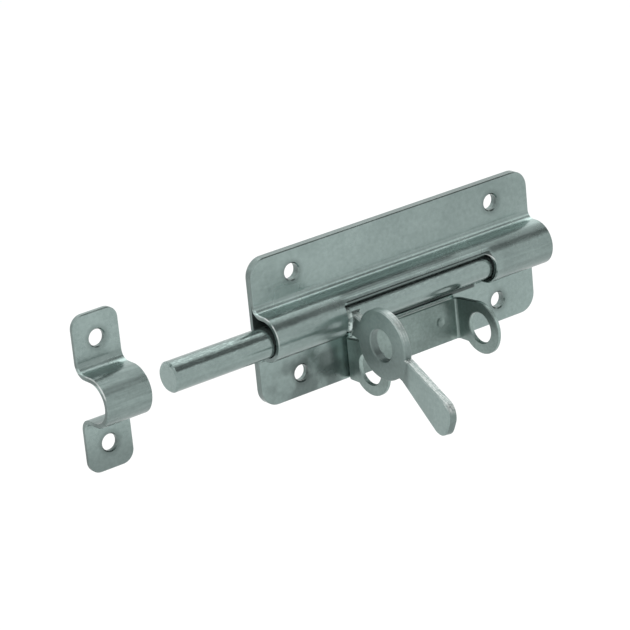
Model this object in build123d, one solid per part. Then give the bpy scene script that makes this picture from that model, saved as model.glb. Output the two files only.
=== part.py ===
from build123d import *
import os
from math import asin, cos, hypot, radians, sin

# Padbolt with its keeper, upright as screwed to a door: the wall is the plane y = 0,
# the front faces -Y and +Z is up. The bolt slides along X and is turned about its own
# axis by a handle that drops beside one of two padlock lugs.

# Case: a flat back plate and a pressed cover of the same outline
plate_length = 113.6
plate_height = 49.0
plate_corner = 6.0
sheet = 1.4
screw_pitch_x = 82.0
screw_pitch_z = 34.0
screw_hole = 5.4
blank_chamfer = 0.3
hole_chamfer = 0.4

# Half-round hump along the cover, open at both ends
hump_radius = 7.5
hump_rise = 3.9
shoulder = 2.6

# Slot in the hump that the handle travels and turns in
slot_left = -29.1
slot_right = 32.3
slot_top = 4.6
slot_low = -8.5
slot_left_corner = 1.0
slot_right_corner = 5.0
slot_chamfer = 0.35

# Round bolt, lying a little below the middle of the hump
bolt_diameter = 10.0
bolt_left = -93.9
bolt_length = 146.0
bolt_drop = 0.8
bolt_wall_gap = 0.6
bolt_end_chamfer = 0.6

# Handle: a forged flat with an eye, a short neck and a flared tail
handle_thickness = 3.0
handle_reach = 20.2
rest_angle = 15.9
locked_angle = 64.5
eye_radius = 11.6
eye_hole = 10.4
neck_above = 3.2
neck_below = 4.2
saddle_gap = 0.05
tail_start = 12.6
tail_offset = 1.3
tail_lead = 8.4
tail_bend = 8.5
tail_length = 26.9
tail_root_width = 8.0
tail_end_width = 13.0
tail_corner = 5.0
handle_chamfer = 0.4
weld_leg = 1.2

# Lug bracket: one strip bent into a U, its panel spot-welded to the cover under the hump
lug_sheet = 1.5
lug_span = 47.3
lug_radius = 8.9
lug_reach = 19.2
lug_hole = 10.4
lug_gap = 0.3
lug_bend = 1.0
panel_low = -24.2
panel_gap = 0.1
weld_spot_pitch = 30.0
weld_spot_z = -16.6
weld_spot_diameter = 3.4
weld_spot_depth = 0.35
ear_chamfer = 0.25

# Keeper: a strap with an arch for the bolt between two screw feet
keeper_x = -113.7
keeper_width = 16.4
keeper_height = 51.0
keeper_sheet = 1.5
keeper_corner = 4.2
keeper_arch = 8.0
keeper_rise = 6.1
keeper_shoulder = 3.0
keeper_hole = 5.4
keeper_pitch = 34.0

# How far a cutter overruns the face that it opens
cut_margin = 0.2

# How near a point has to be to count as lying on a face
touch = 0.02

# Places that follow from the sizes above
cover_front = -2 * sheet
hump_y = cover_front - hump_rise
bolt_radius = bolt_diameter / 2
bolt_y = -sheet - bolt_wall_gap - bolt_radius
bolt_z = -bolt_drop
lug_outer = lug_span / 2
handle_right = -lug_outer - lug_gap
handle_left = handle_right - handle_thickness
lug_y = bolt_y - lug_reach * cos(radians(locked_angle))
lug_z = bolt_z - lug_reach * sin(radians(locked_angle))
panel_front = cover_front - lug_sheet
panel_top = -hump_radius - shoulder - panel_gap


def plate_outline(length, height, corner, holes, hole):
    """Flat outline in the XZ plane, rounded at its corners and pierced for screws."""
    outline = RectangleRounded(length, height, corner)
    for x, z in holes:
        outline -= Pos(x, z) * Circle(hole / 2)
    return outline


def forward(outline, back, front):
    """Stand an XZ outline upright and thicken it from y = back to y = front, towards the viewer."""
    return extrude(Plane.XZ.offset(-back) * outline, back - front)


def arch(radius, centre_y, foot_y, blend):
    """Half-round arch on straight legs in the YZ plane, its legs flaring into the face y = foot_y."""
    body = Pos(centre_y, 0) * Circle(radius)
    body += Pos((centre_y + foot_y) / 2, 0) * Rectangle(foot_y - centre_y, 2 * radius)
    for side in (1, -1):
        flare = Pos(foot_y - blend / 2, side * (radius + blend / 2)) * Rectangle(blend, blend)
        flare -= Pos(foot_y - blend, side * (radius + blend)) * Circle(blend)
        body += flare
    return body


def along_x(profile, start, end):
    """Extrude a YZ profile along X from start to end."""
    return extrude(Plane.YZ.offset(start) * profile, end - start)


def formed_strap(length, height, thick, radius, centre_y, foot_y, blend):
    """Sheet strap of YZ section: flat feet joined by an arch, both of one thickness."""
    section = Pos(foot_y + thick / 2, 0) * Rectangle(thick, height)
    section += arch(radius, centre_y, foot_y, blend)
    section -= arch(radius - thick, centre_y, foot_y + thick, blend + thick)
    return along_x(section, -length / 2, length / 2)


def rims(plate):
    """Edges round the lower and upper face of a flat plate that lies in the XY plane."""
    faces = plate.faces().sort_by(Axis.Z)
    return faces[0].edges() + faces[-1].edges()


def on_outer_face(point, radius, centre_y, foot_y, blend):
    """Whether a point lies on the outer face of a strap: its feet, shoulders, legs or arch."""
    reach = abs(point.Z)
    from_foot = abs(point.Y - foot_y)
    from_shoulder = abs(hypot(point.Y - foot_y + blend, reach - radius - blend) - blend)
    from_leg = abs(reach - radius) if centre_y <= point.Y <= foot_y else blend
    from_arch = abs(hypot(point.Y - centre_y, reach) - radius)
    return min(from_foot, from_shoulder, from_leg, from_arch) < touch


def on_outline(point, length, height, corner):
    """Whether a point lies on the edge of a rounded blank, seen from the front."""
    across = abs(point.X) - length / 2 + corner
    up = abs(point.Z) - height / 2 + corner
    outside = hypot(max(across, 0), max(up, 0)) + min(max(across, up), 0)
    return abs(outside - corner) < touch


def screw_rims(strap, front, hole):
    """Front rims of the screw holes."""
    rims = strap.edges().filter_by(GeomType.CIRCLE)
    return [e for e in rims if abs(e.radius - hole / 2) < touch and abs(e.arc_center.Y - front) < touch]


case_holes = [(i * screw_pitch_x / 2, j * screw_pitch_z / 2) for i in (-1, 1) for j in (-1, 1)]
case_outline = plate_outline(plate_length, plate_height, plate_corner, case_holes, screw_hole)

# Back plate: flat sheet against the wall
back_plate = forward(case_outline, 0, -sheet)

# Front cover: the same blank with the hump pressed in it, then the slot punched through
front_cover = formed_strap(plate_length, plate_height, sheet, hump_radius, hump_y, cover_front, shoulder)
front_cover &= forward(case_outline, -sheet, hump_y - 2 * hump_radius)
top_ray = asin(slot_top / hump_radius)
shoulder_centre = (cover_front - shoulder, -hump_radius - shoulder)
low_ray = asin((slot_low - shoulder_centre[1]) / shoulder)
low_reach = shoulder + 2 * sheet
slot_section = make_face(
    Polyline(
        (hump_y, 0),
        (hump_y - 3 * hump_radius * cos(top_ray), 3 * hump_radius * sin(top_ray)),
        (hump_y - 4 * hump_radius, shoulder_centre[1]),
        shoulder_centre,
        (shoulder_centre[0] + low_reach * cos(low_ray), shoulder_centre[1] + low_reach * sin(low_ray)),
        close=True,
    )
)
slot_high = slot_top + cut_margin
slot_middle = Pos((slot_left + slot_right) / 2, (slot_high - 2 * hump_radius) / 2)
slot_front = slot_middle * Rectangle(slot_right - slot_left, slot_high + 2 * hump_radius)
slot_front = fillet(slot_front.vertices().group_by(Axis.Y)[-1].sort_by(Axis.X)[0], slot_left_corner)
slot_front = fillet(slot_front.vertices().group_by(Axis.X)[-1].sort_by(Axis.Y)[-1], slot_right_corner)
slot_cutter = along_x(slot_section, slot_left, slot_right)
slot_cutter &= forward(slot_front, 0, hump_y - 5 * hump_radius)
front_cover -= slot_cutter
cover_face = (hump_radius, hump_y, cover_front, shoulder)
face_edges = [e for e in front_cover.edges() if on_outer_face(e @ 0.5, *cover_face)]
blank_edges = [e for e in face_edges if on_outline(e @ 0.5, plate_length, plate_height, plate_corner)]
front_cover = chamfer(blank_edges, blank_chamfer)
face_edges = [e for e in front_cover.edges() if on_outer_face(e @ 0.5, *cover_face)]
slot_edges = [e for e in face_edges if slot_low - touch < (e @ 0.5).Z < slot_top + touch]
slot_edges = [e for e in slot_edges if slot_left - touch < (e @ 0.5).X < slot_right + touch]
front_cover = chamfer(slot_edges, slot_chamfer)
front_cover = chamfer(screw_rims(front_cover, cover_front, screw_hole), hole_chamfer)

# Lug bracket: the U seen from above, cut to the side outline of its panel and ears
bracket_depth = cover_front - lug_y + 2 * lug_radius
u_outer = Rectangle(lug_span, bracket_depth)
u_outer = fillet(u_outer.vertices().group_by(Axis.Y)[-1], lug_bend + lug_sheet)
u_inner = Pos(0, -lug_sheet) * Rectangle(lug_span - 2 * lug_sheet, bracket_depth)
u_inner = fillet(u_inner.vertices().group_by(Axis.Y)[-1], lug_bend)
u_shape = Pos(0, cover_front - bracket_depth / 2) * (u_outer - u_inner)
strip_height = 4 * lug_radius
strip = extrude(Plane.XY.offset(lug_z - strip_height / 2) * u_shape, strip_height)
ear_side = make_face(
    Polyline(
        (cover_front, panel_low),
        (lug_y, panel_low),
        (lug_y, lug_z + lug_radius),
        (panel_front, panel_top),
        (cover_front, panel_top),
        close=True,
    )
)
ear_side += Pos(lug_y, lug_z) * Circle(lug_radius)
ear_side -= Pos(lug_y, lug_z) * Circle(lug_hole / 2)
lug_bracket = strip & along_x(ear_side, -lug_span, lug_span)
spot_radius = weld_spot_diameter / 2
dent_radius = (spot_radius**2 + weld_spot_depth**2) / (2 * weld_spot_depth)
ear_rims = lug_bracket.edges().filter_by(GeomType.CIRCLE)
ear_rims = [e for e in ear_rims if min(abs(e.radius - lug_hole / 2), abs(e.radius - lug_radius)) < touch]
lug_bracket = chamfer(ear_rims, ear_chamfer)
for side in (-1, 1):
    dent_y = panel_front + weld_spot_depth - dent_radius
    lug_bracket -= Pos(side * weld_spot_pitch / 2, dent_y, weld_spot_z) * Sphere(dent_radius)

# Bolt: plain round bar with its ends lightly chamfered
bolt_middle = Pos(bolt_left + bolt_length / 2, bolt_y, bolt_z)
bolt_rod = bolt_middle * Rot(0, 90, 0) * Cylinder(bolt_radius, bolt_length)
bolt_rod = chamfer(bolt_rod.edges().filter_by(GeomType.CIRCLE), bolt_end_chamfer)

# Handle, drawn flat: u runs out from the bolt's axis through the eye, v is up, thickness grows to the left
neck_width = neck_above + neck_below
neck_middle = Pos(handle_reach / 2, (neck_above - neck_below) / 2)
neck = neck_middle * Rectangle(handle_reach, neck_width)
lead = Pos(handle_reach, 0) * Rot(0, 0, -tail_lead) * Pos(0, -tail_offset)
link = Pos(tail_start / 2, 0) * Rectangle(tail_start, tail_root_width)
blank = neck + Pos(handle_reach, 0) * Circle(eye_radius) + lead * link
blank -= Pos(handle_reach, 0) * Circle(eye_hole / 2)
flat = extrude(blank, handle_thickness)
flat = chamfer(rims(flat).sort_by(Axis.X)[2:-2], handle_chamfer)
tail_outline = make_face(
    Polyline(
        (0, tail_root_width / 2),
        (tail_length, tail_end_width / 2),
        (tail_length, -tail_end_width / 2),
        (0, -tail_root_width / 2),
        close=True,
    )
)
tail_outline = fillet(tail_outline.vertices().group_by(Axis.X)[-1], tail_corner)
tail = extrude(tail_outline, handle_thickness)
tail = chamfer(rims(tail).sort_by(Axis.X)[2:], handle_chamfer)
flat_handle = flat + lead * Pos(tail_start, 0, 0) * Rot(0, -tail_bend, 0) * tail
weld_root = bolt_radius + saddle_gap
weld = Cone(weld_root, weld_root + weld_leg, weld_leg) - Cylinder(weld_root, 2 * weld_leg)
weld &= neck_middle * Box(handle_reach, neck_width, 2 * weld_leg)
flat_handle += Pos(0, 0, -weld_leg / 2) * weld
flat_handle += Pos(0, 0, handle_thickness + weld_leg / 2) * Rot(180, 0, 0) * weld
handle_slope = radians(rest_angle)
handle_frame = Plane(
    origin=(handle_right, bolt_y, bolt_z),
    x_dir=(0, -cos(handle_slope), -sin(handle_slope)),
    z_dir=(-1, 0, 0),
)
handle = handle_frame.location * flat_handle
saddle = Cylinder(bolt_radius + saddle_gap, 4 * handle_thickness)
handle -= Pos((handle_left + handle_right) / 2, bolt_y, bolt_z) * Rot(0, 90, 0) * saddle

# Keeper: strap with its own two screws, in line with the bolt
keeper_y = -keeper_sheet - keeper_rise
keeper_outline = plate_outline(
    keeper_width,
    keeper_height,
    keeper_corner,
    [(0, keeper_pitch / 2), (0, -keeper_pitch / 2)],
    keeper_hole,
)
keeper = formed_strap(
    keeper_width, keeper_height, keeper_sheet, keeper_arch, keeper_y, -keeper_sheet, keeper_shoulder
)
keeper &= forward(keeper_outline, 0, keeper_y - 2 * keeper_arch)
keeper_face = (keeper_arch, keeper_y, -keeper_sheet, keeper_shoulder)
keeper_rim = [e for e in keeper.edges() if on_outer_face(e @ 0.5, *keeper_face)]
keeper_rim = [e for e in keeper_rim if on_outline(e @ 0.5, keeper_width, keeper_height, keeper_corner)]
keeper = chamfer(keeper_rim, blank_chamfer)
keeper = chamfer(screw_rims(keeper, -keeper_sheet, keeper_hole), hole_chamfer)
keeper = Pos(keeper_x, 0, 0) * keeper

parts = {
    "back_plate": back_plate,
    "front_cover": front_cover,
    "lug_bracket": lug_bracket,
    "bolt_rod": bolt_rod,
    "handle": handle,
    "keeper": keeper,
}
os.makedirs("parts", exist_ok=True)
for name, part in parts.items():
    export_step(part, f"parts/{name}.step")
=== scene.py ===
import bpy
from mathutils import Matrix, Vector

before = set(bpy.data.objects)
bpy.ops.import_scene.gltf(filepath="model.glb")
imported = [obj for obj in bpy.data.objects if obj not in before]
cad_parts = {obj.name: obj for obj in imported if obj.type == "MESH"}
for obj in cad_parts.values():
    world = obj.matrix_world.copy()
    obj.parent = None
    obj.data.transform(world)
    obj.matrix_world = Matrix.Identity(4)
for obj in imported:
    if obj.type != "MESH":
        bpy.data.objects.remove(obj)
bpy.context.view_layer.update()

# Back plate: a flat blank of mild steel, sheared, pierced for four screws and zinc plated.
# It lies against the door and closes the channel that the bar runs in.
zinc_shade = (0.255, 0.325, 0.310, 1.0)
zinc_bloom_shade = (0.322, 0.404, 0.386, 1.0)
zinc_metallic = 0.9
bloom_depth = 0.0004


def new_group(name, inputs, outputs):
    """Empty shader group of float sockets: (name, default) inputs and named outputs."""
    group = bpy.data.node_groups.new(name, "ShaderNodeTree")
    sockets = group.interface
    for label, default in inputs:
        socket = sockets.new_socket(name=label, in_out="INPUT", socket_type="NodeSocketFloat")
        socket.default_value = default
    for label in outputs:
        sockets.new_socket(name=label, in_out="OUTPUT", socket_type="NodeSocketFloat")
    start = group.nodes.new("NodeGroupInput")
    end = group.nodes.new("NodeGroupOutput")
    return group, start.outputs, end.inputs


def math_node(tree, operation, first, second):
    """Math node whose operands are sockets or numbers; returns its output socket."""
    node = tree.nodes.new("ShaderNodeMath")
    node.operation = operation
    for index, operand in enumerate((first, second)):
        if isinstance(operand, (int, float)):
            node.inputs[index].default_value = operand
        else:
            tree.links.new(operand, node.inputs[index])
    return node.outputs[0]


def size_of(tree, value):
    """A value socket without its sign."""
    return math_node(tree, "ABSOLUTE", value, 0.0)


def noise_node(tree, vector, scale, detail, roughness):
    """Noise over a vector socket, at a scale that is a number or a socket."""
    node = tree.nodes.new("ShaderNodeTexNoise")
    node.inputs["Detail"].default_value = detail
    node.inputs["Roughness"].default_value = roughness
    tree.links.new(vector, node.inputs["Vector"])
    if isinstance(scale, (int, float)):
        node.inputs["Scale"].default_value = scale
    else:
        tree.links.new(scale, node.inputs["Scale"])
    return node.outputs["Fac"]


def soft_step(tree, value, low, high, start=0.0, end=1.0):
    """Smooth ramp of a value socket, from start at low to end at high."""
    node = tree.nodes.new("ShaderNodeMapRange")
    node.interpolation_type = "SMOOTHSTEP"
    tree.links.new(value, node.inputs["Value"])
    limits = (("From Min", low), ("From Max", high), ("To Min", start), ("To Max", end))
    for label, number in limits:
        node.inputs[label].default_value = number
    return node.outputs["Result"]


def place_on_piece(tree):
    """Place in the set at rest, in metres: X along the bar, -Y to the front, Z up."""
    return tree.nodes.new("ShaderNodeTexCoord").outputs["Object"]


def facing_of_piece(tree):
    """Direction that a face of the piece looks in."""
    return tree.nodes.new("ShaderNodeTexCoord").outputs["Normal"]


def axes_of(tree, vector):
    """X, Y and Z of a vector socket."""
    parts = tree.nodes.new("ShaderNodeSeparateXYZ")
    tree.links.new(vector, parts.inputs[0])
    return parts.outputs


def swing(tree, noise, strength):
    """How far a noise socket lies from its middle, times a strength."""
    noise_middle = 0.5
    from_noise_middle = math_node(tree, "SUBTRACT", noise, noise_middle)
    return math_node(tree, "MULTIPLY", from_noise_middle, strength)


# Cloudy bloom and fine grain of bright zinc plating
zinc_bloom, bloom_in, bloom_out = new_group(
    "zinc_bloom",
    [("Cloud Size", 55.0), ("Grain Size", 900.0), ("Base Roughness", 0.34), ("Spread", 0.10)],
    ["Tone", "Roughness", "Height"],
)
bloom_place = place_on_piece(zinc_bloom)
cloud = noise_node(zinc_bloom, bloom_place, bloom_in["Cloud Size"], detail=3.0, roughness=0.5)
grain = noise_node(zinc_bloom, bloom_place, bloom_in["Grain Size"], detail=2.0, roughness=0.6)
cloud_swing = swing(zinc_bloom, cloud, strength=2.2)
grain_swing = swing(zinc_bloom, grain, strength=1.8)
both_swings = math_node(zinc_bloom, "ADD", cloud_swing, grain_swing)
rough_swing = math_node(zinc_bloom, "MULTIPLY", cloud_swing, bloom_in["Spread"])
bloom_rough = math_node(zinc_bloom, "ADD", bloom_in["Base Roughness"], rough_swing)
cloud_height = math_node(zinc_bloom, "MULTIPLY", cloud, 0.6)
grain_height = math_node(zinc_bloom, "MULTIPLY", grain, 0.4)
bloom_height = math_node(zinc_bloom, "ADD", cloud_height, grain_height)
zinc_bloom.links.new(math_node(zinc_bloom, "ADD", both_swings, 0.5), bloom_out["Tone"])
zinc_bloom.links.new(bloom_rough, bloom_out["Roughness"])
zinc_bloom.links.new(bloom_height, bloom_out["Height"])

# Painted shade: faces that turn away from the front, and the sheet's sheared ends, are made darker
turned_face_shade, turned_in, turned_out = new_group("turned_face_shade", [("Darkening", 0.3)], ["Keep"])
turned_facing = axes_of(turned_face_shade, facing_of_piece(turned_face_shade))
turned_away = soft_step(turned_face_shade, size_of(turned_face_shade, turned_facing["Y"]), 0.75, 0.10)
turned_loss = math_node(turned_face_shade, "MULTIPLY", turned_away, turned_in["Darkening"])
turned_keep = math_node(turned_face_shade, "SUBTRACT", 1.0, turned_loss)
shorn_end = size_of(turned_face_shade, turned_facing["X"])
shorn_keep = soft_step(turned_face_shade, shorn_end, 0.80, 0.95, 1.0, 0.72)
turned_and_shorn = math_node(turned_face_shade, "MULTIPLY", turned_keep, shorn_keep)
turned_face_shade.links.new(turned_and_shorn, turned_out["Keep"])


def add_group(material, group, values):
    """Place a shader group in a material with its own values; returns its outputs."""
    node = material.node_tree.nodes.new("ShaderNodeGroup")
    node.node_tree = group
    for label, value in values.items():
        node.inputs[label].default_value = value
    return node.outputs


def plated_metal(name, shade, bloom, values, relief):
    """Metal whose colour, roughness and relief follow the zinc bloom."""
    material = bpy.data.materials.new(name)
    material.use_nodes = True
    tree = material.node_tree
    shader = tree.nodes["Principled BSDF"]
    shader.inputs["Metallic"].default_value = zinc_metallic
    effect = add_group(material, zinc_bloom, values)
    blend = tree.nodes.new("ShaderNodeMix")
    blend.data_type = "RGBA"
    blend.inputs["A"].default_value = shade
    blend.inputs["B"].default_value = bloom
    tree.links.new(effect["Tone"], blend.inputs["Factor"])
    tree.links.new(blend.outputs["Result"], shader.inputs["Base Color"])
    tree.links.new(effect["Roughness"], shader.inputs["Roughness"])
    bump = tree.nodes.new("ShaderNodeBump")
    bump.inputs["Strength"].default_value = relief
    bump.inputs["Distance"].default_value = bloom_depth
    tree.links.new(effect["Height"], bump.inputs["Height"])
    tree.links.new(bump.outputs["Normal"], shader.inputs["Normal"])
    return material


def dim(material, keep):
    """Multiply a metal's colour by a factor socket."""
    tree = material.node_tree
    colour = tree.nodes["Principled BSDF"].inputs["Base Color"]
    scale = tree.nodes.new("ShaderNodeVectorMath")
    scale.operation = "SCALE"
    tree.links.new(colour.links[0].from_socket, scale.inputs[0])
    tree.links.new(keep, scale.inputs["Scale"])
    tree.links.new(scale.outputs[0], colour)


def give_finish(node, material):
    """Put one finish on every material slot of a CAD node."""
    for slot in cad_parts[node].material_slots:
        slot.material = material


back_values = {"Cloud Size": 48.0}
back_finish = plated_metal(
    "back_plate_zinc", zinc_shade, zinc_bloom_shade, back_values, relief=0.12
)
dim(back_finish, add_group(back_finish, turned_face_shade, {"Darkening": 0.25})["Keep"])
give_finish("back_plate", back_finish)

# Front cover: the same blank with the bar's half-round channel pressed along it and a slot punched
# through the channel. The drawn steel is darker and streaked along the channel, and its cut edges
# are bright, partly from wear and partly as a painted highlight.
cover_values = {"Cloud Size": 60.0, "Base Roughness": 0.24, "Spread": 0.12}
cover_finish = plated_metal(
    "front_cover_zinc", zinc_shade, zinc_bloom_shade, cover_values, relief=0.12
)
worn_and_lit_zinc = (0.74, 0.77, 0.76, 1.0)
drawn_relief = 0.35
slot_middle = 0.0016


def product(tree, first, *others):
    """Value sockets multiplied together."""
    result = first
    for other in others:
        result = math_node(tree, "MULTIPLY", result, other)
    return result


def between(tree, value, one_end, other_end):
    """Mask of a stretch with two soft ends, each given as (where it is 0, where it is 1)."""
    return product(tree, soft_step(tree, value, *one_end), soft_step(tree, value, *other_end))


def distance(tree, across, up):
    """Length whose two components are value sockets."""
    squares = (product(tree, across, across), product(tree, up, up))
    return math_node(tree, "SQRT", math_node(tree, "ADD", *squares), 0.0)


def stretched(tree, vector, along_x, across):
    """A place vector scaled differently along the bar and across it."""
    node = tree.nodes.new("ShaderNodeVectorMath")
    node.operation = "MULTIPLY"
    node.inputs[1].default_value = (along_x, across, across)
    tree.links.new(vector, node.inputs[0])
    return node.outputs[0]


# Painted shade: darker rings round the screw holes
screw_hole_shade, marks_in, marks_out = new_group(
    "screw_hole_shade",
    [("Middle X", 0.0), ("Half Pitch X", 0.041), ("Half Pitch Z", 0.017), ("Darkening", 0.25)],
    ["Keep"],
)
marks_at = axes_of(screw_hole_shade, place_on_piece(screw_hole_shade))
from_middle = math_node(screw_hole_shade, "SUBTRACT", marks_at["X"], marks_in["Middle X"])
from_middle = size_of(screw_hole_shade, from_middle)
mark_across = math_node(screw_hole_shade, "SUBTRACT", from_middle, marks_in["Half Pitch X"])
mark_up = size_of(screw_hole_shade, marks_at["Z"])
mark_up = math_node(screw_hole_shade, "SUBTRACT", mark_up, marks_in["Half Pitch Z"])
mark = soft_step(screw_hole_shade, distance(screw_hole_shade, mark_across, mark_up), 0.0050, 0.0030)
mark_loss = product(screw_hole_shade, mark, marks_in["Darkening"])
screw_hole_shade.links.new(math_node(screw_hole_shade, "SUBTRACT", 1.0, mark_loss), marks_out["Keep"])

# Fine lines and shallow waves left by drawing the metal along its length
drawn_lines, lines_in, lines_out = new_group("drawn_lines", [("Waves", 0.5)], ["Height"])
lines_place = place_on_piece(drawn_lines)
lines_place_fine = stretched(drawn_lines, lines_place, along_x=25.0, across=1500.0)
lines_place_slow = stretched(drawn_lines, lines_place, along_x=70.0, across=300.0)
fine_lines = noise_node(drawn_lines, lines_place_fine, scale=1.0, detail=3.0, roughness=0.55)
slow_waves = noise_node(drawn_lines, lines_place_slow, scale=1.0, detail=2.0, roughness=0.5)
wave_height = product(drawn_lines, slow_waves, lines_in["Waves"])
line_height = product(drawn_lines, fine_lines, 0.12)
drawn_height = math_node(drawn_lines, "ADD", wave_height, line_height)
drawn_lines.links.new(drawn_height, lines_out["Height"])

# Darker, streaked colour on metal that stands forward of the flat sheet
drawn_zone, zone_in, zone_out = new_group("drawn_zone", [("Darkening", 0.2)], ["Keep"])
zone_place = place_on_piece(drawn_zone)
zone_deep = soft_step(drawn_zone, axes_of(drawn_zone, zone_place)["Y"], -0.0036, -0.0080)
zone_streaks = stretched(drawn_zone, zone_place, along_x=60.0, across=900.0)
zone_streaks = noise_node(drawn_zone, zone_streaks, scale=1.0, detail=3.0, roughness=0.6)
zone_streaks = soft_step(drawn_zone, zone_streaks, 0.3, 0.7, 0.6, 1.4)
zone_loss = product(drawn_zone, zone_deep, zone_in["Darkening"], zone_streaks)
drawn_zone.links.new(math_node(drawn_zone, "SUBTRACT", 1.0, zone_loss), zone_out["Keep"])

# Bright edges, partly wear and partly a painted highlight: the narrow faces at the mouths and the
# slot's ends, above the bar
worn_edge_sheen, sheen_in, sheen_out = new_group("worn_edge_sheen", [("Wear And Sheen", 0.7)], ["Mask"])
sheen_place = place_on_piece(worn_edge_sheen)
sheen_at = axes_of(worn_edge_sheen, sheen_place)
sheen_side = axes_of(worn_edge_sheen, facing_of_piece(worn_edge_sheen))
sheen_side = size_of(worn_edge_sheen, sheen_side["X"])
sheen_spots = noise_node(worn_edge_sheen, sheen_place, scale=180.0, detail=2.0, roughness=0.5)
sheen_mask = product(
    worn_edge_sheen,
    between(worn_edge_sheen, sheen_side, (0.30, 0.50), (0.95, 0.80)),
    soft_step(worn_edge_sheen, sheen_at["Y"], -0.0038, -0.0060),
    soft_step(worn_edge_sheen, sheen_at["Z"], -0.0010, 0.0030),
    soft_step(worn_edge_sheen, sheen_spots, 0.38, 0.56),
    sheen_in["Wear And Sheen"],
)
worn_edge_sheen.links.new(sheen_mask, sheen_out["Mask"])


def dim_where(material, mask, factor):
    """Multiply a metal's colour by a number where a mask is 1; above 1 it brightens."""
    dim(material, soft_step(material.node_tree, mask, 0.0, 1.0, 1.0, factor))


def brighten_for_wear_and_sheen(material, mask, colour):
    """Mix a metal's colour towards a brighter one by a mask socket."""
    tree = material.node_tree
    base = tree.nodes["Principled BSDF"].inputs["Base Color"]
    blend = tree.nodes.new("ShaderNodeMix")
    blend.data_type = "RGBA"
    blend.inputs["B"].default_value = colour
    tree.links.new(mask, blend.inputs["Factor"])
    tree.links.new(base.links[0].from_socket, blend.inputs["A"])
    tree.links.new(blend.outputs["Result"], base)


def add_drawn_relief(material, waves, depth):
    """Lay the drawn lines over a metal's own relief."""
    tree = material.node_tree
    normal = tree.nodes["Principled BSDF"].inputs["Normal"]
    bump = tree.nodes.new("ShaderNodeBump")
    bump.inputs["Strength"].default_value = drawn_relief
    bump.inputs["Distance"].default_value = depth
    lines = add_group(material, drawn_lines, {"Waves": waves})
    tree.links.new(lines["Height"], bump.inputs["Height"])
    tree.links.new(normal.links[0].from_socket, bump.inputs["Normal"])
    tree.links.new(bump.outputs["Normal"], normal)


def painted_reflection_bands(tree, height, bands):
    """Painted highlight and shade in bands up a pressed shoulder: (share of the way up, brightness
    / 3).
    """
    shoulder_low = 0.006
    shoulder_high = 0.014
    ramp_gain = 3.0
    way_up = tree.nodes.new("ShaderNodeMapRange")
    way_up.inputs["From Min"].default_value = shoulder_low
    way_up.inputs["From Max"].default_value = shoulder_high
    tree.links.new(height, way_up.inputs["Value"])
    ramp = tree.nodes.new("ShaderNodeValToRGB")
    stops = ramp.color_ramp.elements
    for band in bands[2:]:
        stops.new(band[0])
    for stop, (share, level) in zip(stops, bands):
        stop.position = share
        stop.color = (level, level, level, 1.0)
    tree.links.new(way_up.outputs["Result"], ramp.inputs["Fac"])
    return math_node(tree, "MULTIPLY", ramp.outputs["Color"], ramp_gain)


dim(cover_finish, add_group(cover_finish, turned_face_shade, {"Darkening": 0.12})["Keep"])
dim(cover_finish, add_group(cover_finish, drawn_zone, {"Darkening": 0.13})["Keep"])
dim(cover_finish, add_group(cover_finish, screw_hole_shade, {})["Keep"])
cover_tree = cover_finish.node_tree
cover_place = place_on_piece(cover_tree)
cover_at = axes_of(cover_tree, cover_place)

# The upper flange darkens a little towards the right, and the upper shoulder gets painted
# highlight and shade in bands
flange_keep = soft_step(cover_tree, cover_at["X"], -0.0400, 0.0350, 0.98, 0.86)
below_flange = soft_step(cover_tree, cover_at["Z"], 0.0108, 0.0098)
dim(cover_finish, math_node(cover_tree, "MAXIMUM", flange_keep, below_flange))
shoulder_bands = (
    (0.0, 0.333),
    (0.14, 0.40),
    (0.185, 0.60),
    (0.20, 0.90),
    (0.22, 0.90),
    (0.26, 0.44),
    (0.315, 0.55),
    (0.38, 0.28),
    (0.42, 0.25),
    (0.55, 0.34),
    (1.0, 0.325),
)
dim(cover_finish, painted_reflection_bands(cover_tree, cover_at["Z"], shoulder_bands))

# Painted shade: a dark band along the crown of the channel over the slot
crown_high = between(cover_tree, cover_at["Z"], (0.0063, 0.0067), (0.00715, 0.00700))
crown_long = between(cover_tree, cover_at["X"], (-0.0310, -0.0260), (0.0220, 0.0140))
dim_where(cover_finish, product(cover_tree, crown_high, crown_long), factor=0.52)

# Painted highlight on the ridge between that dark band and the slot's upper lip
ridge_high = between(cover_tree, cover_at["Z"], (0.0040, 0.0045), (0.0063, 0.0058))
ridge_long = between(cover_tree, cover_at["X"], (-0.0310, -0.0260), (0.0330, 0.0300))
dim_where(cover_finish, product(cover_tree, ridge_high, ridge_long), factor=2.0)

# The lower flange and the front of the channel's right end are a little darker
dim(cover_finish, soft_step(cover_tree, cover_at["Z"], -0.0080, -0.0120, 1.0, 0.95))
channel_right = soft_step(cover_tree, cover_at["X"], 0.0320, 0.0380)
channel_front = soft_step(cover_tree, cover_at["Y"], -0.0080, -0.0110)
dim_where(cover_finish, product(cover_tree, channel_right, channel_front), factor=0.88)

# The slot's punched lips lie in the shade of the channel
along_slot = size_of(cover_tree, math_node(cover_tree, "SUBTRACT", cover_at["X"], slot_middle))
lip_long = soft_step(cover_tree, along_slot, 0.0302, 0.0290)
lip_high = between(cover_tree, cover_at["Z"], (0.00535, 0.00505), (-0.0096, -0.0093))
dim_where(cover_finish, product(cover_tree, lip_high, lip_long), factor=0.26)

# Painted highlight on the shoulder between the slot and the lug bracket's panel
under_slot_high = between(cover_tree, cover_at["Z"], (-0.0093, -0.0096), (-0.0108, -0.0104))
over_panel = soft_step(cover_tree, size_of(cover_tree, cover_at["X"]), 0.0222, 0.0205)
dim_where(cover_finish, product(cover_tree, under_slot_high, over_panel), factor=3.9)
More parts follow.
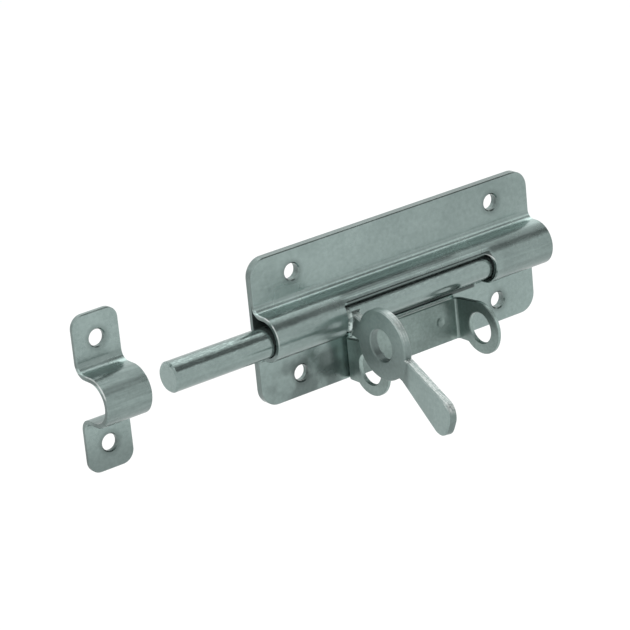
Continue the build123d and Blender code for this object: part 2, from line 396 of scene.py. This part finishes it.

# Painted shade on the lower flange, in clouds, to the left of the lugs
flange_shade_low = soft_step(cover_tree, cover_at["Z"], -0.0090, -0.0135)
flange_shade_long = between(cover_tree, cover_at["X"], (-0.0700, -0.0270), (-0.0225, -0.0310))
flange_shade_clouds = noise_node(cover_tree, cover_place, scale=130.0, detail=2.0, roughness=0.5)
flange_shade_clouds = soft_step(cover_tree, flange_shade_clouds, 0.30, 0.62, 0.4, 1.0)
flange_shade = product(cover_tree, flange_shade_low, flange_shade_long, flange_shade_clouds)
dim(cover_finish, soft_step(cover_tree, flange_shade, 0.0, 0.7, 1.0, 0.48))

brighten_for_wear_and_sheen(cover_finish, add_group(cover_finish, worn_edge_sheen, {})["Mask"], worn_and_lit_zinc)
add_drawn_relief(cover_finish, waves=0.9, depth=0.0003)
give_finish("front_cover", cover_finish)

# Lug bracket: one strip folded into a U, spot-welded by its panel to the cover's lower flange.
# Its two ears stand forward and are pierced for a padlock's shackle. The whole bracket is painted
# darker, as painted shade.
lug_shade = (0.168, 0.217, 0.203, 1.0)
lug_bloom_shade = (0.232, 0.296, 0.278, 1.0)
lug_values = {"Cloud Size": 90.0}
lug_finish = plated_metal("lug_bracket_zinc", lug_shade, lug_bloom_shade, lug_values, relief=0.12)
lug_tree = lug_finish.node_tree
lug_at = axes_of(lug_tree, place_on_piece(lug_tree))
lug_side = size_of(lug_tree, axes_of(lug_tree, facing_of_piece(lug_tree))["X"])
on_ears = soft_step(lug_tree, lug_side, 0.30, 0.80)
off_ears = soft_step(lug_tree, lug_side, 0.80, 0.30)
# Painted shade: the bracket darkens towards its top under the channel, and its ears are darker
# than its panel
dim(lug_finish, soft_step(lug_tree, lug_at["Z"], -0.0120, -0.0240, 0.74, 1.12))
dim(lug_finish, soft_step(lug_tree, lug_side, 0.30, 0.80, 1.0, 0.90))

# Painted highlight: the panel brightens towards its upper edge and at its two bends
panel_gain = soft_step(lug_tree, lug_at["Z"], -0.0225, -0.0130, -0.15, 0.55)
dim(lug_finish, math_node(lug_tree, "ADD", 1.0, product(lug_tree, panel_gain, off_ears)))
panel_end = soft_step(lug_tree, size_of(lug_tree, lug_at["X"]), 0.0175, 0.0205)
dim_where(lug_finish, product(lug_tree, panel_end, off_ears), factor=1.4)

# The left ear catches light high up at its root
root_left = soft_step(lug_tree, lug_at["X"], -0.0180, -0.0200)
root_high = soft_step(lug_tree, lug_at["Z"], -0.0215, -0.0140)
dim_where(lug_finish, product(lug_tree, on_ears, root_left, root_high), factor=2.1)
give_finish("lug_bracket", lug_finish)

# Bolt: a drawn round bar, cut to length and lightly chamfered, plated like the rest.
# It slides in the channel and reaches into the keeper; its skin is the brightest of all.
rod_values = {"Cloud Size": 40.0, "Base Roughness": 0.17, "Spread": 0.06}
rod_finish = plated_metal("bolt_rod_zinc", zinc_shade, zinc_bloom_shade, rod_values, relief=0.06)
rod_tree = rod_finish.node_tree
rod_place = place_on_piece(rod_tree)
rod_end = size_of(rod_tree, axes_of(rod_tree, facing_of_piece(rod_tree))["X"])
dim(rod_finish, soft_step(rod_tree, rod_end, 0.5, 0.9, 0.86, 0.90))

# Small bright scuffs along the bar's upper half, where it rubs in the channel
rod_flecks = stretched(rod_tree, rod_place, along_x=500.0, across=2400.0)
rod_flecks = noise_node(rod_tree, rod_flecks, scale=1.0, detail=2.0, roughness=0.5)
rod_flecks = soft_step(rod_tree, rod_flecks, 0.50, 0.66, -0.05, 0.38)
rod_top = soft_step(rod_tree, axes_of(rod_tree, rod_place)["Z"], 0.0004, 0.0030)
dim(rod_finish, math_node(rod_tree, "ADD", 1.0, product(rod_tree, rod_top, rod_flecks)))
add_drawn_relief(rod_finish, waves=0.12, depth=0.0002)
give_finish("bolt_rod", rod_finish)

# Handle: a flat stamping with an eye and a flared tail, welded to the bar by its short neck.
# The tail is set over a little, so that fingers get behind it; its shorn edges shine.
handle_values = {"Cloud Size": 110.0, "Base Roughness": 0.44}
handle_finish = plated_metal(
    "handle_zinc", zinc_shade, zinc_bloom_shade, handle_values, relief=0.12
)
shorn_and_lit_zinc = (0.74, 0.79, 0.77, 1.0)
weld_zinc = (0.66, 0.76, 0.73, 1.0)
eye_middle = (-0.02545, -0.026427, -0.006334)
bar_middle_deep = 0.0070
bar_middle_low = 0.0008
handle_tree = handle_finish.node_tree
handle_place = place_on_piece(handle_tree)
handle_at = axes_of(handle_tree, handle_place)
handle_side = axes_of(handle_tree, facing_of_piece(handle_tree))

# The eye darkens towards its bottom, below the neck above it; the tail in front of it stays near
# full colour
on_tail = soft_step(handle_tree, handle_at["Y"], -0.0355, -0.0405)
ring_keep = soft_step(handle_tree, handle_at["Z"], 0.0020, -0.0120, 1.0, 0.66)
tail_keep = product(handle_tree, on_tail, 0.95)
dim(handle_finish, math_node(handle_tree, "MAXIMUM", ring_keep, tail_keep))

# Painted shade on the tail's end face and on the wall of the eye's hole, which are darker than the
# flats
edge_side = soft_step(handle_tree, size_of(handle_tree, handle_side["X"]), 0.90, 0.60)
end_face = soft_step(handle_tree, handle_side["Y"], -0.50, -0.80)
dim_where(handle_finish, product(handle_tree, end_face, edge_side, on_tail), factor=0.70)
eye_distance = handle_tree.nodes.new("ShaderNodeVectorMath")
eye_distance.operation = "DISTANCE"
eye_distance.inputs[1].default_value = eye_middle
handle_tree.links.new(handle_place, eye_distance.inputs[0])
from_eye = eye_distance.outputs["Value"]
dim(handle_finish, soft_step(handle_tree, from_eye, 0.0053, 0.0060, 0.72, 1.0))

# Bright strands and specks on the upper edges, outside the eye's hole: partly wear from shearing,
# partly a painted highlight where the edges face up and forward
edge_strands = stretched(handle_tree, handle_place, along_x=3200.0, across=60.0)
edge_strands = noise_node(handle_tree, edge_strands, scale=1.0, detail=2.0, roughness=0.5)
edge_specks = noise_node(handle_tree, handle_place, scale=1500.0, detail=1.0, roughness=0.5)
edge_wear_and_sheen = product(
    handle_tree,
    edge_side,
    soft_step(handle_tree, handle_side["Z"], 0.15, 0.70),
    soft_step(handle_tree, handle_side["Y"], -0.05, -0.30),
    soft_step(handle_tree, edge_strands, 0.34, 0.60, 0.10, 1.0),
    soft_step(handle_tree, edge_specks, 0.36, 0.54, 0.5, 1.1),
    soft_step(handle_tree, on_tail, 0.0, 1.0, 0.75, 0.85),
    soft_step(handle_tree, from_eye, 0.0060, 0.0070),
)
brighten_for_wear_and_sheen(handle_finish, edge_wear_and_sheen, shorn_and_lit_zinc)

# The weld beads glint where they meet the bar
weld_deep = math_node(handle_tree, "ADD", handle_at["Y"], bar_middle_deep)
weld_up = math_node(handle_tree, "ADD", handle_at["Z"], bar_middle_low)
near_bar = soft_step(handle_tree, distance(handle_tree, weld_deep, weld_up), 0.0074, 0.0068)
weld_glints = noise_node(handle_tree, handle_place, scale=700.0, detail=1.0, roughness=0.5)
weld_glints = soft_step(handle_tree, weld_glints, 0.46, 0.54)
brighten_for_wear_and_sheen(handle_finish, product(handle_tree, weld_glints, near_bar), weld_zinc)
give_finish("handle", handle_finish)

# Keeper: a strap pressed to an arch with a screw foot above and below, fixed on the frame or
# post in line with the bar. Its arch is darker and streaked, like the cover's channel.
keeper_middle = -0.1137
keeper_values = {"Cloud Size": 75.0, "Base Roughness": 0.28}
keeper_finish = plated_metal(
    "keeper_zinc", zinc_shade, zinc_bloom_shade, keeper_values, relief=0.12
)
keeper_hole_shade = {"Middle X": keeper_middle, "Half Pitch X": 0.0}
dim(keeper_finish, add_group(keeper_finish, turned_face_shade, {"Darkening": 0.12})["Keep"])
dim(keeper_finish, add_group(keeper_finish, drawn_zone, {"Darkening": 0.22})["Keep"])
dim(keeper_finish, add_group(keeper_finish, screw_hole_shade, keeper_hole_shade)["Keep"])
keeper_tree = keeper_finish.node_tree
keeper_at = axes_of(keeper_tree, place_on_piece(keeper_tree))
dim(keeper_finish, soft_step(keeper_tree, keeper_at["Z"], -0.010, -0.023, 1.0, 0.61))

# Painted highlight on the arch above the bar, and painted highlight and shade in bands up the
# upper shoulder
keeper_crown = between(keeper_tree, keeper_at["Z"], (0.0041, 0.0050), (0.0070, 0.0060))
dim_where(keeper_finish, keeper_crown, factor=1.8)
keeper_bands = (
    (0.0, 0.333),
    (0.08, 0.28),
    (0.16, 0.29),
    (0.24, 0.36),
    (0.26, 0.63),
    (0.285, 0.64),
    (0.31, 0.47),
    (0.40, 0.46),
    (0.47, 0.25),
    (0.625, 0.25),
    (0.70, 0.30),
    (1.0, 0.333),
)
dim(keeper_finish, painted_reflection_bands(keeper_tree, keeper_at["Z"], keeper_bands))
brighten_for_wear_and_sheen(keeper_finish, add_group(keeper_finish, worn_edge_sheen, {})["Mask"], worn_and_lit_zinc)
add_drawn_relief(keeper_finish, waves=0.9, depth=0.0003)
give_finish("keeper", keeper_finish)

# Studio: a plain pale floor, a wide softbox overhead and two cards that only the metal mirrors.
# The surroundings are white to the eye and to the metal.
floor_height = -0.25
floor_half = 6.0
floor_corners = [
    (-floor_half, -floor_half, floor_height),
    (floor_half, -floor_half, floor_height),
    (floor_half, floor_half, floor_height),
    (-floor_half, floor_half, floor_height),
]
floor_mesh = bpy.data.meshes.new("studio_floor")
floor_mesh.from_pydata(floor_corners, [], [(0, 1, 2, 3)])
studio_floor = bpy.data.objects.new("studio_floor", floor_mesh)
bpy.context.scene.collection.objects.link(studio_floor)


def matt(name, shade, roughness):
    """Even matt grey for floor and cards."""
    material = bpy.data.materials.new(name)
    material.use_nodes = True
    shader = material.node_tree.nodes["Principled BSDF"]
    shader.inputs["Base Color"].default_value = (shade, shade, shade, 1.0)
    shader.inputs["Roughness"].default_value = roughness
    shader.inputs["Specular IOR Level"].default_value = 0.0
    return material


floor_mesh.materials.append(matt("studio_floor_paper", shade=0.98, roughness=0.9))


def reflector(name, centre, width, height, shade, turned=None):
    """Flat card seen only in reflections; it faces the object unless it is turned another way."""
    mesh = bpy.data.meshes.new(name)
    w = width / 2
    h = height / 2
    mesh.from_pydata([(-w, -h, 0), (w, -h, 0), (w, h, 0), (-w, h, 0)], [], [(0, 1, 2, 3)])
    card = bpy.data.objects.new(name, mesh)
    card.location = centre
    card.rotation_euler = turned or Vector(centre).to_track_quat("Z", "Y").to_euler()
    mesh.materials.append(matt(name + "_cloth", shade, roughness=1.0))
    bpy.context.scene.collection.objects.link(card)
    card.visible_camera = False
    card.visible_diffuse = False
    card.visible_shadow = False


reflector("flag_overhead", centre=(0.60, -0.40, 0.92), width=2.2, height=0.60, shade=0.16)
reflector(
    "card_below",
    centre=(0.25, 0.02, -0.245),
    width=1.0,
    height=0.56,
    shade=0.86,
    turned=(0.0, 0.0, 0.0),
)

softbox = bpy.data.lights.new("overhead_softbox", "AREA")
softbox.shape = "RECTANGLE"
softbox.size = 1.4
softbox.size_y = 0.8
softbox.energy = 2.0
softbox_object = bpy.data.objects.new("overhead_softbox", softbox)
softbox_object.location = (0.45, 0.30, 0.9)
softbox_object.rotation_euler = softbox_object.location.to_track_quat("Z", "Y").to_euler()
bpy.context.scene.collection.objects.link(softbox_object)

world = bpy.data.worlds.new("white_surroundings")
world.use_nodes = True
bpy.context.scene.world = world
world.node_tree.nodes["Background"].inputs["Color"].default_value = (1.0, 1.0, 1.0, 1.0)
world.node_tree.nodes["Background"].inputs["Strength"].default_value = 1.0

# Camera: where the photograph was taken from, fitted to the case's corners and holes.
# A long lens keeps the set's edges almost parallel, as they are there.
camera_data = bpy.data.cameras.new("photo_camera")
camera_data.lens = 177.9
camera_data.sensor_width = 36.0
camera_data.clip_start = 0.05
camera_data.clip_end = 50.0
camera_place = (-0.57317, -0.74521, 0.33953)
camera_right = Vector((0.78483, -0.61270, -0.09302))
camera_up = Vector((0.28300, 0.22081, 0.93336))
camera_back = Vector((-0.55132, -0.75884, 0.34669))
camera_turn = Matrix((camera_right, camera_up, camera_back)).transposed()
camera = bpy.data.objects.new("photo_camera", camera_data)
camera.matrix_world = Matrix.Translation(camera_place) @ camera_turn.to_4x4()
bpy.context.scene.collection.objects.link(camera)
bpy.context.scene.camera = camera
bpy.context.scene.view_settings.view_transform = "Standard"
